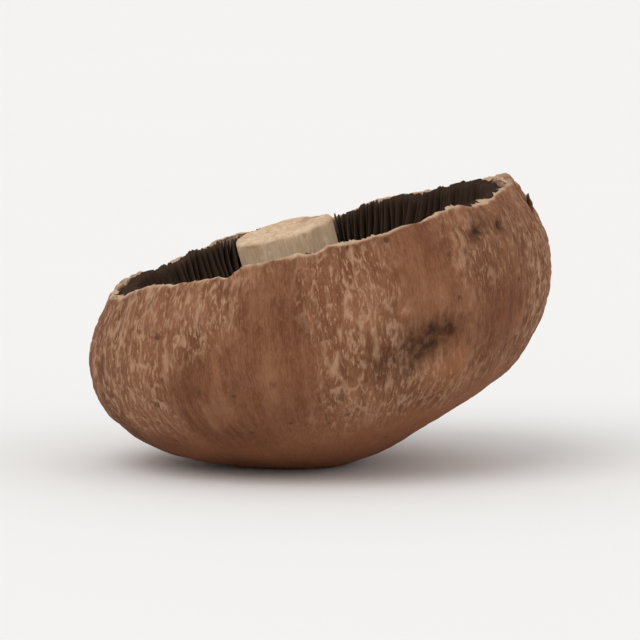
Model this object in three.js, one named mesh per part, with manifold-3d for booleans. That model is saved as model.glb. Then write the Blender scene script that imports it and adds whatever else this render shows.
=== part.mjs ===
// A portobello mushroom set down on its crown, with its gills and trimmed stem facing up.
// Millimetres, +Z up. The origin is the middle of the flat spot on the crown that it rests on.
import * as THREE from "three";
import { mergeVertices } from "three/addons/utils/BufferGeometryUtils.js";
import Module from "manifold-3d";

// The cap as if it had grown level: radii are from the stem's axis, heights from the crown.
const CAP_HEIGHT = 41.7;
const RIM_RADIUS = 36.7;
const CROWN_PULL = 15.3; // handle of the outer curve where it leaves the crown
const WAIST_PULL = new THREE.Vector2(54, 12.2); // handle of the outer curve that swells the waist
const FLESH_AT_CROWN = 12;
const LIP_THICKNESS = 1.7;
const LIP_ROUNDING = 0.6;
const UNDERSIDE_PULL = 16; // handle of the flesh's underside beside the stem
const UNDERSIDE_WAIST_PULL = new THREE.Vector2(48.5, 16.5);

// How it really grew: the rim climbs towards +X, the cap leans with it, and the margin waves.
const RIM_CLIMB = 0.275; // rise of the rim per millimetre along X
const CLIMB_POWER = 0.21; // how soon above the crown the climb sets in
const LEAN_AT_CROWN = 6.2; // offset of the level shape along X
const LEAN_AT_RIM = 1.8;
const FLANK_LIFT = 4; // how far the crown is drawn up on its +X side
const FLANK_FROM = -4; // where along X that lift sets in
const FLANK_TO = 30; // where it is full
const FLANK_FADE = 0.3; // share of the cap's height over which it fades out
const LOBES = [
  { count: 2, swell: 0.01, turn: 0.6 },
  { count: 3, swell: 0.012, turn: 2.1 },
  { count: 5, swell: 0.006, turn: 4.0 },
];
const RIM_WAVES = [
  { count: 3, height: 0.5, turn: 1.2 },
  { count: 7, height: 0.35, turn: 0.3 },
];
const DENTS = [
  { turn: -1.05, depth: 0.03, width: 0.17 },
  { turn: 2.5, depth: 0.022, width: 0.22 },
];
const REST_DEPTH = 0.75; // how far the flat spot is taken into the crown
const REST_MIDDLE = -2.1; // of the flat spot along X, before the mushroom is moved over the origin

// Gills: blades that rise out of the thin layer they grow from, clear of the cap's flesh and of the stem.
const GILL_COUNT = 112;
const GILL_THICKNESS = 0.8;
const GILL_GAP = 0.35; // between the layer and the flesh
const GILL_LAYER = 1.1;
const GILL_START = 0.21; // along the underside, from the stem to the lip
const GILL_END = 0.965;
const GILL_SHOULDER = new THREE.Vector2(33.9, 42.5); // where a blade's edge turns down to the lip
const GILL_EDGE = [
  new THREE.Vector2(12.2, 20.5),
  new THREE.Vector2(20, 22.5),
  new THREE.Vector2(28.8, 30),
  new THREE.Vector2(31.8, 42.2),
]; // handles of a long blade's free edge, from the stem to the shoulder
const GILL_EDGE_STEPS = [1, 0.8, 0.6, 0.4, 0.2, 0.05]; // places along that edge, from the shoulder inwards
const GILL_TIERS = [
  { reach: 7, depth: 1 },
  { reach: 3, depth: 0.88 },
  { reach: 5, depth: 0.95 },
  { reach: 3, depth: 0.88 },
]; // long, short, middling and short blades in turn: the last raised row, and the share of the depth
const GILL_JITTER = 0.1; // of the space between blades
const FLAT_SHARE = 0.25; // of that space, the half width of a blade's strip where it isn't raised

// Stem: a stub with a flared foot in the cap, the torn ring of the veil, and a slanted trimmed end.
const STEM_CLEARANCE = 0.3; // between the foot and the flesh
const STEM_FOOT = 0.185; // how far the foot reaches along the underside
const STEM_FLARE = 4;
const STEM_RADIUS = 8.4;
const STEM_WAIST = 0.97; // of that radius, between the flare and the ring
const STEM_END = 43.2;
const STEM_END_ROUNDING = 0.7;
const STEM_SLANT = 0.08; // rise of the trimmed end per millimetre along Y
const STEM_LEAN = -0.16; // of its axis along X, per millimetre of height
const STEM_LOBES = [
  { count: 2, swell: 0.03, turn: 0.7 },
  { count: 5, swell: 0.02, turn: 0 },
];
const RING_HEIGHT = 33;
const RING_REACH = 1.1;
const RING_WIDTH = 3.6;

const CAP_SEGMENTS = 60;
const STEM_SEGMENTS = 40;

const SKIN = new THREE.MeshStandardMaterial({ color: 0x82593f, roughness: 0.68, metalness: 0 });
const GILL = new THREE.MeshStandardMaterial({ color: 0x35261d, roughness: 0.85, metalness: 0 });
const STEM = new THREE.MeshStandardMaterial({ color: 0xd0b698, roughness: 0.75, metalness: 0 });

const UP = new THREE.Vector3(0, 0, 1);
const wasm = await Module();
wasm.setup();

const outerCurve = new THREE.CubicBezierCurve(
  new THREE.Vector2(0, 0),
  new THREE.Vector2(CROWN_PULL, 0),
  WAIST_PULL,
  new THREE.Vector2(RIM_RADIUS, CAP_HEIGHT),
);
const undersideCurve = new THREE.CubicBezierCurve(
  new THREE.Vector2(0, FLESH_AT_CROWN),
  new THREE.Vector2(UNDERSIDE_PULL, FLESH_AT_CROWN),
  UNDERSIDE_WAIST_PULL,
  new THREE.Vector2(RIM_RADIUS - LIP_THICKNESS, CAP_HEIGHT - LIP_ROUNDING),
);
const gillEdgeCurve = new THREE.CubicBezierCurve(...GILL_EDGE);

// Points at even steps of a curve's own parameter, from one value of it to another.
function along(curve, from, to, steps) {
  return Array.from({ length: steps + 1 }, (_, i) => curve.getPoint(from + ((to - from) * i) / steps));
}

// The underside's points moved off the flesh, towards the gills.
function offUnderside(from, to, steps, distance) {
  return Array.from({ length: steps + 1 }, (_, i) => {
    const at = from + ((to - from) * i) / steps;
    const tangent = undersideCurve.getTangent(at);
    return undersideCurve.getPoint(at).add(new THREE.Vector2(-tangent.y, tangent.x).multiplyScalar(distance));
  });
}

// Shortest way round from one turn to another, in radians.
function turnBetween(a, b) {
  return Math.atan2(Math.sin(a - b), Math.cos(a - b));
}

// Moves a point of the level mushroom to where the lopsided one has it.
function grow(point) {
  const radius = Math.hypot(point.x, point.y);
  const turn = Math.atan2(point.y, point.x);
  const share = Math.max(point.z, 0) / CAP_HEIGHT;
  const outward = radius / RIM_RADIUS;
  let swell = 1;
  for (const lobe of LOBES) swell += lobe.swell * Math.sin(lobe.count * turn + lobe.turn) * Math.min(share, 1);
  for (const dent of DENTS) {
    const across = turnBetween(turn, dent.turn) / dent.width;
    swell -= dent.depth * Math.exp(-across * across) * Math.sin(Math.PI * Math.min(share, 1));
  }
  let lift = 0;
  for (const wave of RIM_WAVES) lift += wave.height * Math.sin(wave.count * turn + wave.turn);
  const lean = THREE.MathUtils.lerp(LEAN_AT_CROWN, LEAN_AT_RIM, share);
  const climb = RIM_CLIMB * point.x * share ** CLIMB_POWER;
  const drawn = THREE.MathUtils.smoothstep(point.x, FLANK_FROM, FLANK_TO);
  const flank = FLANK_LIFT * drawn * (1 - THREE.MathUtils.smoothstep(share, 0, FLANK_FADE));
  return new THREE.Vector3(
    point.x * swell + lean,
    point.y * swell,
    point.z + climb + flank + lift * outward ** 2 * share ** 3,
  );
}

// A geometry with every vertex moved by a function of its place and number.
function moved(geometry, move) {
  const position = geometry.attributes.position;
  const point = new THREE.Vector3();
  for (let i = 0; i < position.count; i += 1) {
    const to = move(point.fromBufferAttribute(position, i), i);
    position.setXYZ(i, to.x, to.y, to.z);
  }
  return geometry;
}

// A profile of radii and heights turned about the Z axis.
function turned(profile, segments) {
  return new THREE.LatheGeometry(profile, segments).rotateX(Math.PI / 2);
}

// A closed geometry as a solid, without the empty triangles at the poles.
function solidOf(geometry) {
  geometry.deleteAttribute("normal");
  geometry.deleteAttribute("uv");
  const merged = mergeVertices(geometry, 1e-4);
  const index = merged.index.array;
  const triangles = [];
  for (let i = 0; i < index.length; i += 3) {
    const [a, b, c] = index.subarray(i, i + 3);
    if (a !== b && b !== c && c !== a) triangles.push(a, b, c);
  }
  return new wasm.Manifold(
    new wasm.Mesh({
      numProp: 3,
      vertProperties: new Float32Array(merged.attributes.position.array),
      triVerts: new Uint32Array(triangles),
    }),
  );
}

// A solid as a named mesh.
function meshOf(name, solid, material) {
  const { vertProperties, triVerts } = solid.getMesh();
  const geometry = new THREE.BufferGeometry();
  geometry.setAttribute("position", new THREE.BufferAttribute(vertProperties, 3));
  geometry.setIndex(new THREE.BufferAttribute(triVerts, 1));
  geometry.computeVertexNormals();
  const mesh = new THREE.Mesh(geometry, material);
  mesh.name = name;
  return mesh;
}

// Cap: skin outside, a rounded lip, the flesh's underside, and the flat spot on the crown.
function capSolid(restHeight) {
  const lipTop = new THREE.Vector2(RIM_RADIUS - LIP_THICKNESS / 2, CAP_HEIGHT + LIP_ROUNDING / 2);
  const profile = [
    ...along(outerCurve, 0, 1, 16),
    lipTop,
    ...along(undersideCurve, 1, 0, 12),
  ];
  const cap = solidOf(moved(turned(profile, CAP_SEGMENTS), grow));
  const below = new THREE.BoxGeometry(4 * RIM_RADIUS, 4 * RIM_RADIUS, CAP_HEIGHT);
  below.translate(0, 0, restHeight - CAP_HEIGHT / 2);
  return cap.subtract(solidOf(below));
}

// Gills: a ring with four lines of vertices to a blade, two at its root and two raised to its edge.
function gillSolid() {
  const rows = GILL_EDGE_STEPS.length + 2;
  const back = offUnderside(GILL_START, GILL_END, 6, GILL_GAP);
  const bed = offUnderside(GILL_END, GILL_START, rows, GILL_GAP + GILL_LAYER);
  const edge = [bed[0], GILL_SHOULDER, ...GILL_EDGE_STEPS.map((at) => gillEdgeCurve.getPoint(at)), bed[rows]];
  const profile = [...back, ...bed, back[0]];
  const lines = 4 * GILL_COUNT;
  const ring = turned(profile, lines);
  return solidOf(
    moved(ring, (_, vertex) => {
      const line = Math.floor(vertex / profile.length) % lines;
      const place = vertex % profile.length;
      const blade = Math.floor(line / 4);
      const side = line % 4;
      const tier = GILL_TIERS[blade % GILL_TIERS.length];
      const row = place - back.length;
      const raised = row > 0 && row <= tier.reach;
      const onEdge = raised && (side === 1 || side === 2);
      const at = onEdge ? bed[row].clone().lerp(edge[row], tier.depth) : profile[place];
      const space = (2 * Math.PI * profile[place].x) / GILL_COUNT;
      const half = raised ? GILL_THICKNESS / 2 : FLAT_SHARE * space;
      const drift = (THREE.MathUtils.seededRandom(blade + 1) - 0.5) * 2 * GILL_JITTER;
      const turn = ((blade + drift) / GILL_COUNT) * 2 * Math.PI;
      const level = new THREE.Vector3(at.x, side < 2 ? -half : half, at.y);
      return grow(level.applyAxisAngle(UP, turn));
    }),
  );
}

// Stem: the flared foot on the flesh's underside, the shaft with its ring, and the trimmed end.
function stemSolid() {
  const foot = offUnderside(0, STEM_FOOT, 3, STEM_CLEARANCE);
  const footEdge = foot[foot.length - 1];
  const flareTop = footEdge.y + STEM_FLARE;
  const profile = [
    ...foot,
    new THREE.Vector2(THREE.MathUtils.lerp(STEM_RADIUS, footEdge.x, 0.4), footEdge.y + STEM_FLARE * 0.35),
    new THREE.Vector2(STEM_RADIUS, flareTop),
    new THREE.Vector2(STEM_RADIUS * STEM_WAIST, THREE.MathUtils.lerp(flareTop, RING_HEIGHT, 0.5)),
    new THREE.Vector2(STEM_RADIUS, RING_HEIGHT - RING_WIDTH * 0.7),
    new THREE.Vector2(STEM_RADIUS + RING_REACH, RING_HEIGHT),
    new THREE.Vector2(STEM_RADIUS + RING_REACH * 0.7, RING_HEIGHT + RING_WIDTH * 0.15),
    new THREE.Vector2(STEM_RADIUS, RING_HEIGHT + RING_WIDTH * 0.3),
    new THREE.Vector2(STEM_RADIUS, STEM_END - STEM_END_ROUNDING),
    new THREE.Vector2(STEM_RADIUS - STEM_END_ROUNDING, STEM_END),
    new THREE.Vector2(0, STEM_END),
  ];
  return solidOf(
    moved(turned(profile, STEM_SEGMENTS), (point) => {
      const height = Math.max(point.z - footEdge.y, 0);
      const rise = height / (STEM_END - footEdge.y);
      const turn = Math.atan2(point.y, point.x);
      let swell = 1;
      for (const lobe of STEM_LOBES) swell += lobe.swell * Math.sin(lobe.count * turn + lobe.turn) * rise;
      const slant = STEM_SLANT * point.y * rise ** 4;
      const to = grow(new THREE.Vector3(point.x * swell, point.y * swell, point.z + slant));
      to.x += STEM_LEAN * height;
      return to;
    }),
  );
}

// The lowest point of the grown crown, from its own curve.
function lowestPoint() {
  let low = 0;
  for (const point of along(outerCurve, 0, 0.5, 100)) {
    low = Math.min(low, grow(new THREE.Vector3(-point.x, 0, point.y)).z);
  }
  return low;
}

const restHeight = lowestPoint() + REST_DEPTH;
const mushroom = new THREE.Group();
mushroom.add(
  meshOf("cap", capSolid(restHeight), SKIN),
  meshOf("gills", gillSolid(), GILL),
  meshOf("stem", stemSolid(), STEM),
);
mushroom.position.set(-REST_MIDDLE, 0, -restHeight);

export default mushroom;
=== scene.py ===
"""Dresses a portobello mushroom that rests on its crown: skin, gills, stem, torn veil and a studio."""

import logging
import math
from dataclasses import dataclass, field
from enum import Enum
from typing import Optional, Sequence, Union

import bpy
import numpy as np
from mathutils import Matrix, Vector


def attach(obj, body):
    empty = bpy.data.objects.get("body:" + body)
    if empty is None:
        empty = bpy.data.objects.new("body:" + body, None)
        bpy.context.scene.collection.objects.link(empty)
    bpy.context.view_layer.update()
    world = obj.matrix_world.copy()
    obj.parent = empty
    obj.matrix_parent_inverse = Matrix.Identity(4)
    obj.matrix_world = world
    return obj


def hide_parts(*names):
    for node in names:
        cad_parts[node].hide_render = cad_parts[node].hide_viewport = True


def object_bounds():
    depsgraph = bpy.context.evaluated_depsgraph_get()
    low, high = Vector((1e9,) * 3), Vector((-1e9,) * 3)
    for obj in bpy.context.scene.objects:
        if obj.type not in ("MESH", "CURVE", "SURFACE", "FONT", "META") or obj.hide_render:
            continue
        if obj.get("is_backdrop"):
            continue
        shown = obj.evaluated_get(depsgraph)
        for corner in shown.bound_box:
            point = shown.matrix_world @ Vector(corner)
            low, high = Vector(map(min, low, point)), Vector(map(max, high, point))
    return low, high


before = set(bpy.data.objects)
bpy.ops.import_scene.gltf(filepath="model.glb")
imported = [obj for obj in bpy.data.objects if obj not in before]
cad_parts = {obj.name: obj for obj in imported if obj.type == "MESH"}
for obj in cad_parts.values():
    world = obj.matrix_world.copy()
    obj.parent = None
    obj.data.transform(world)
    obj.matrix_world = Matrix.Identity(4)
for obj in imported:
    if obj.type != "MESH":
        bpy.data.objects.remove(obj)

LOG = logging.getLogger("mushroom")
MILLIMETRE = 0.001
FULL_TURN = 2.0 * math.pi
BODY = "root"
LEVEL = np.array([1.0, 1.0, 0.0])
UP = np.array([0.0, 0.0, 1.0])
SHORTEST = 1e-9

# Factors, shifts and masks that stir the numbers of a lattice cell into a random value.
AXIS_PRIMES = (73856093, 19349663, 83492791)
SEED_PRIME = 974711
STIRS = ((13, 1274126177), (16, 2246822519))
LAST_SHIFT = 15
LOW_BITS = 0xFFFFFFFF
HALF_RANGE = 0x7FFFFFFF
LAYER_SEEDS = 101

# Numbers of the colour sockets of Blender's mix node.
MIX_SHARE, MIX_FIRST, MIX_SECOND, MIX_RESULT = 0, 6, 7, 2

Array = np.ndarray
Span = tuple[float, float]
Colour = tuple[float, float, float]
Size = Union[float, Sequence[float]]
Values = dict[str, Array]
Socket = bpy.types.NodeSocket
Input = Union[float, Sequence[float], Socket]


def bezier(handles: Array, at: Array) -> Array:
    """Points of a cubic curve.

    Args:
        handles: Four control points, one to a row.
        at: Places along the curve, from 0 to 1.

    Returns:
        One point to a row for each place.
    """
    t = np.asarray(at, float)[:, None]
    s = 1.0 - t
    return s**3 * handles[0] + 3 * s**2 * t * handles[1] + 3 * s * t**2 * handles[2] + t**3 * handles[3]


def bezier_normal(handles: Array, at: Array) -> Array:
    """Unit normals of a cubic curve, on the left of its direction.

    Args:
        handles: Four control points, one to a row.
        at: Places along the curve, from 0 to 1.

    Returns:
        One unit normal to a row for each place.
    """
    t = np.asarray(at, float)[:, None]
    s = 1.0 - t
    steps = np.diff(handles, axis=0)
    tangent = s**2 * steps[0] + 2 * s * t * steps[1] + t**2 * steps[2]
    tangent /= np.linalg.norm(tangent, axis=1, keepdims=True)
    return np.stack([-tangent[:, 1], tangent[:, 0]], axis=1)


def smooth(low: float, high: float, value: Array) -> Array:
    """Values mapped smoothly, from 0 at low to 1 at high."""
    share = np.clip((np.asarray(value, float) - low) / (high - low), 0.0, 1.0)
    return share * share * (3.0 - 2.0 * share)


def between(start: float, end: float, share: Array) -> Array:
    """Values from start, at a share of 0, to end, at a share of 1."""
    return start + (end - start) * share


def turned(angles: Array, middle: float) -> Array:
    """How far angles are turned from a middle one, at most half a turn either way."""
    return np.angle(np.exp(1j * (angles - middle)))


def hump(across: Array) -> Array:
    """A bell: 1 in the middle, and near 0 from two widths out."""
    return np.exp(-across * across)


def on_drum(angles: Array, radius: Union[float, Array], along: Array) -> Array:
    """Points on a drum about the axis.

    Args:
        angles: Angles about the axis, one to a column.
        radius: The drum's radius, one for all or one to a row.
        along: Places along the axis, rows by columns.

    Returns:
        A grid of points, rows by columns.
    """
    flat = np.ones_like(along)
    return np.stack([np.cos(angles) * radius * flat, np.sin(angles) * radius * flat, along], axis=-1)


def grid_normals(grid: Array) -> Array:
    """Unit normals of a grid that closes round its columns.

    Args:
        grid: Points, rows by columns.

    Returns:
        One unit normal to a point.
    """
    around = np.roll(grid, -1, axis=1) - np.roll(grid, 1, axis=1)
    normal = np.cross(around, np.gradient(grid, axis=0))
    return normal / np.maximum(np.linalg.norm(normal, axis=-1, keepdims=True), SHORTEST)


def out_and_back(steps: int) -> tuple[Array, Array]:
    """Columns out over one face of a thin piece and back over the other.

    Args:
        steps: Number of columns on a face.

    Returns:
        Each column's share of the way out, and its face as -1 or 1.
    """
    out = np.linspace(0.0, 1.0, steps)
    return np.concatenate([out, out[::-1]]), np.repeat((-1.0, 1.0), steps)


@dataclass(frozen=True)
class Noise:
    """Seeded noise on a lattice, read for many points at once."""

    seed: int

    def _corner(self, cell: Array) -> Array:
        """Random values of lattice cells.

        Args:
            cell: Whole numbers of the cells, in the last axis of the array.

        Returns:
            Values from -1 to 1.
        """
        x, y, z = (cell[..., axis] * prime for axis, prime in enumerate(AXIS_PRIMES))
        mixed = (x ^ y ^ z ^ self.seed * SEED_PRIME) & LOW_BITS
        for shift, factor in STIRS:
            mixed = ((mixed ^ (mixed >> shift)) * factor) & LOW_BITS
        return (mixed ^ (mixed >> LAST_SHIFT)) / HALF_RANGE - 1.0

    def read(self, points: Array, size: Size) -> Array:
        """Smooth noise at points.

        Args:
            points: Points, in the last axis of the array.
            size: Size of a cell, one for all axes or one for each.

        Returns:
            Values from about -1 to 1.
        """
        scaled = np.asarray(points, float) / np.asarray(size, float)
        cell = np.floor(scaled).astype(np.int64)
        part = smooth(0.0, 1.0, scaled - cell)
        total = np.zeros(scaled.shape[:-1])
        for corner in np.ndindex(2, 2, 2):
            offset = np.array(corner)
            weight = np.prod(np.where(offset == 1, part, 1.0 - part), axis=-1)
            total += weight * self._corner(cell + offset)
        return total

    def cells(self, points: Array, size: Size) -> tuple[Array, Array]:
        """Irregular cells, as of cracked mud.

        Args:
            points: Points, in the last axis of the array.
            size: Usual size of a cell, one for all axes or one for each.

        Returns:
            The distance from the cell's border, in cells, and a random value from -1 to 1 for the cell.
        """
        scaled = np.asarray(points, float) / np.asarray(size, float)
        home = np.floor(scaled).astype(np.int64)
        first = np.full(scaled.shape[:-1], np.inf)
        second = np.full(scaled.shape[:-1], np.inf)
        chosen = np.zeros(scaled.shape[:-1])
        for step in np.ndindex(3, 3, 3):
            cell = home + np.array(step) - 1
            shift = np.stack([Noise(self.seed + axis)._corner(cell) for axis in (1, 2, 3)], axis=-1)
            away = np.linalg.norm(cell + 0.5 + 0.5 * shift - scaled, axis=-1)
            nearest = away < first
            second = np.where(nearest, first, np.minimum(second, away))
            chosen = np.where(nearest, self._corner(cell), chosen)
            first = np.where(nearest, away, first)
        return second - first, chosen


@dataclass(frozen=True)
class Uneven:
    """Unevenness from noise: seed, size of cells and height, layers of halving size, warp and shift."""

    seed: int
    size: Size
    height: float
    layers: int = 1
    warp: float = 0.0
    shift: float = 0.0

    def read(self, places: Array, warp: Union[float, Array] = 0.0) -> Array:
        """The unevenness at places.

        Args:
            places: Points, in the last axis of the array.
            warp: Moves of the points, which are taken times this unevenness's warp.

        Returns:
            Values up to about the height, either way.
        """
        moved = places + self.shift + self.warp * warp
        total = np.zeros(moved.shape[:-1])
        for layer in range(self.layers):
            finer = Noise(self.seed + LAYER_SEEDS * layer)
            total += finer.read(moved, np.asarray(self.size, float) / 2**layer) / 2**layer
        return self.height * (total / (2.0 - 2.0 ** (1 - self.layers)))


@dataclass(frozen=True)
class Wave:
    """A wave round the mushroom: how many crests, how high, where it starts, and its pace by rows."""

    count: int
    height: float
    start: float = 0.0
    pace: float = 0.0

    def read(self, turn: Union[float, Array], row: Union[float, Array] = 0.0) -> Array:
        """Heights of the wave at angles about the axis, or by rows at one angle."""
        return self.height * np.sin(self.count * turn + self.start + self.pace * row)


@dataclass(frozen=True)
class Dent:
    """A shallow valley down the cap: its turn, depth as a share of the radius, and width in radians."""

    turn: float
    depth: float
    width: float


@dataclass(frozen=True)
class Growth:
    """How the mushroom grew, in millimetres: a level shape, and what makes it lopsided."""

    cap_height: float = 41.7
    rim_radius: float = 36.7
    waist_bulge: float = 4.0
    crown_pull: float = 15.3
    waist_pull: Span = (54.0, 12.2)
    flesh_at_crown: float = 12.0
    lip_thickness: float = 1.7
    lip_rounding: float = 0.6
    underside_pull: float = 16.0
    underside_waist_pull: Span = (48.5, 16.5)
    rim_climb: float = 0.275
    climb_power: float = 0.21
    lean_at_crown: float = 6.2
    lean_at_rim: float = 1.8
    flank_lift: float = 4.0
    flank_range: Span = (-4.0, 30.0)
    flank_fade: float = 0.3
    rest_depth: float = 0.75
    rest_middle: float = -2.1
    rest_steps: int = 101
    roll_turn: float = 0.05
    roll_width: float = 8.0
    lobes: tuple[Wave, ...] = (Wave(2, 0.01, 0.6), Wave(3, 0.012, 2.1), Wave(5, 0.006, 4.0))
    rim_waves: tuple[Wave, ...] = (Wave(3, 0.5, 1.2), Wave(7, 0.35, 0.3))
    dents: tuple[Dent, ...] = (Dent(-1.05, 0.03, 0.17), Dent(2.5, 0.022, 0.22))

    @property
    def outer(self) -> Array:
        """Handles of the skin's curve, from the crown to the rim, as radius and height."""
        rim = (self.rim_radius, self.cap_height)
        return np.array([(0.0, 0.0), (self.crown_pull, 0.0), self.waist_pull, rim])

    @property
    def underside(self) -> Array:
        """Curve of the flesh's underside, from the stem to the lip.

        Returns:
            Its four handles, as radius and height.
        """
        lip = (self.rim_radius - self.lip_thickness, self.cap_height - self.lip_rounding)
        beside_stem = (self.underside_pull, self.flesh_at_crown)
        return np.array([(0.0, self.flesh_at_crown), beside_stem, self.underside_waist_pull, lip])

    @property
    def waist(self) -> float:
        """Radius that turns are measured at."""
        return self.rim_radius + self.waist_bulge

    @property
    def rest_height(self) -> float:
        """Where the crown is cut flat, found along its lower half on the side that hangs lowest.

        Returns:
            Height of the flat spot above the level crown.
        """
        curve = bezier(self.outer, np.linspace(0.0, 0.5, self.rest_steps))
        points = np.stack([-curve[:, 0], np.zeros(len(curve)), curve[:, 1]], axis=-1)
        return float(min(0.0, self._lopsided(points)[:, 2].min())) + self.rest_depth

    def off_underside(self, at: Array, distance: float) -> Array:
        """Radius and height of points off the flesh, towards the gills, at places along the underside."""
        return bezier(self.underside, at) + distance * bezier_normal(self.underside, at)

    def rolled(self, turns: Union[float, Array]) -> Array:
        """How far the margin is rolled in at angles about the axis, from 0 to 1."""
        return hump(turned(turns, self.roll_turn) * self.waist / self.roll_width)

    def turn_profile(self, profile: Array, turns: Array) -> Array:
        """A level grid from radius and height, one to a row, turned about the axis to a column each."""
        return on_drum(turns, profile[:, :1], np.repeat(profile[:, 1:], len(turns), axis=1))

    def _lopsided(self, level: Array) -> Array:
        """Moves points of the level mushroom to where the lopsided one has them.

        Args:
            level: Points in the last axis of the array.

        Returns:
            The moved points.
        """
        x, y, z = level[..., 0], level[..., 1], level[..., 2]
        turn = np.arctan2(y, x)
        share = np.maximum(z, 0.0) / self.cap_height
        capped = np.minimum(share, 1.0)
        swell = np.ones_like(x)
        for lobe in self.lobes:
            swell += lobe.read(turn) * capped
        for dent in self.dents:
            swell -= dent.depth * hump(turned(turn, dent.turn) / dent.width) * np.sin(math.pi * capped)
        lift = sum(wave.read(turn) for wave in self.rim_waves)
        outward = np.hypot(x, y) / self.rim_radius
        lean = between(self.lean_at_crown, self.lean_at_rim, share)
        climb = self.rim_climb * x * share**self.climb_power
        faded = 1.0 - smooth(0.0, self.flank_fade, share)
        flank = self.flank_lift * smooth(*self.flank_range, x) * faded
        height = z + climb + flank + lift * outward**2 * share**3
        return np.stack([x * swell + lean, y * swell, height], axis=-1)

    def grow(self, level: Array) -> Array:
        """Points of the level mushroom as they stand over the origin."""
        return self._lopsided(level) - np.array([self.rest_middle, 0.0, self.rest_height])


@dataclass
class MeshParts:
    """Vertices, faces and values by vertex of a mesh under way, in millimetres."""

    points: list[Array] = field(default_factory=list)
    faces: list[tuple[int, ...]] = field(default_factory=list)
    values: dict[str, list[Array]] = field(default_factory=dict)
    count: int = 0

    def _take(self, points: Array, values: Values) -> int:
        """Adds loose vertices.

        Args:
            points: The vertices, one to a row.
            values: Their named values, one to a row.

        Returns:
            The number of the first one.
        """
        first = self.count
        self.points.append(points)
        self.count += len(points)
        for name, value in values.items():
            self.values.setdefault(name, []).append(value)
        return first

    def add_grid(self, grid: Array, values: Values, poles: bool = False, ring: bool = False) -> None:
        """Adds a grid that closes round its columns.

        Args:
            grid: Points, rows by columns.
            values: Named values, rows by columns, with a last axis where they are vectors.
            poles: Whether the first and last rows shrink to one point each.
            ring: Whether the last row joins the first.
        """
        rows, columns = grid.shape[:2]
        flat = {name: value.reshape(rows * columns, -1) for name, value in values.items()}
        first = self._take(grid.reshape(-1, 3), flat)
        for row in range(rows if ring else rows - 1):
            here, above = first + row * columns, first + (row + 1) % rows * columns
            for column in range(columns):
                after = (column + 1) % columns
                self.faces.append((here + column, here + after, above + after, above + column))
        if poles:
            for row, flip in ((0, True), (rows - 1, False)):
                ends = {name: value[row].mean(axis=0).reshape(1, -1) for name, value in values.items()}
                pole = self._take(grid[row].mean(axis=0)[None, :], ends)
                start = first + row * columns
                for column in range(columns):
                    pair = (start + column, start + (column + 1) % columns)
                    self.faces.append((pole, pair[1], pair[0]) if flip else (pole, pair[0], pair[1]))

    def add_tube(self, grid: Array, values: Values) -> None:
        """Adds a grid that closes round its columns, with a face over each end.

        Args:
            grid: Points, rows by columns.
            values: Named values, rows by columns, with a last axis where they are vectors.
        """
        first = self.count
        self.add_grid(grid, values)
        rows, columns = grid.shape[:2]
        last = first + (rows - 1) * columns
        for near in range(columns // 2 - 1):
            far = columns - 1 - near
            self.faces.append((first + near, first + far, first + far - 1, first + near + 1))
            self.faces.append((last + near, last + near + 1, last + far - 1, last + far))

    def to_object(self, name: str, material: bpy.types.Material) -> bpy.types.Object:
        """Makes the Blender object, in metres.

        Args:
            name: Name of the piece.
            material: What it is made of.

        Returns:
            The object, shaded smooth and linked to the scene.
        """
        mesh = bpy.data.meshes.new(name)
        points = np.concatenate(self.points) * MILLIMETRE
        mesh.from_pydata(points.tolist(), [], self.faces)
        for key, chunks in self.values.items():
            value = np.concatenate(chunks)
            kind, field_name = ("FLOAT_VECTOR", "vector") if value.shape[1] == 3 else ("FLOAT", "value")
            attribute = mesh.attributes.new(key, kind, "POINT")
            attribute.data.foreach_set(field_name, value.astype(np.float32).ravel())
        mesh.shade_smooth()
        mesh.validate()
        mesh.materials.append(material)
        piece = bpy.data.objects.new(name, mesh)
        bpy.context.collection.objects.link(piece)
        return piece


@dataclass(frozen=True)
class Ramp:
    """Moves values smoothly from one range, low to high, to another, start to end."""

    low: float
    high: float
    start: float = 0.0
    end: float = 1.0


@dataclass(frozen=True)
class Cloud:
    """Fractal noise and its contrast: detail, roughness, and what becomes of its values."""

    detail: float
    roughness: float
    contrast: Ramp


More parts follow.
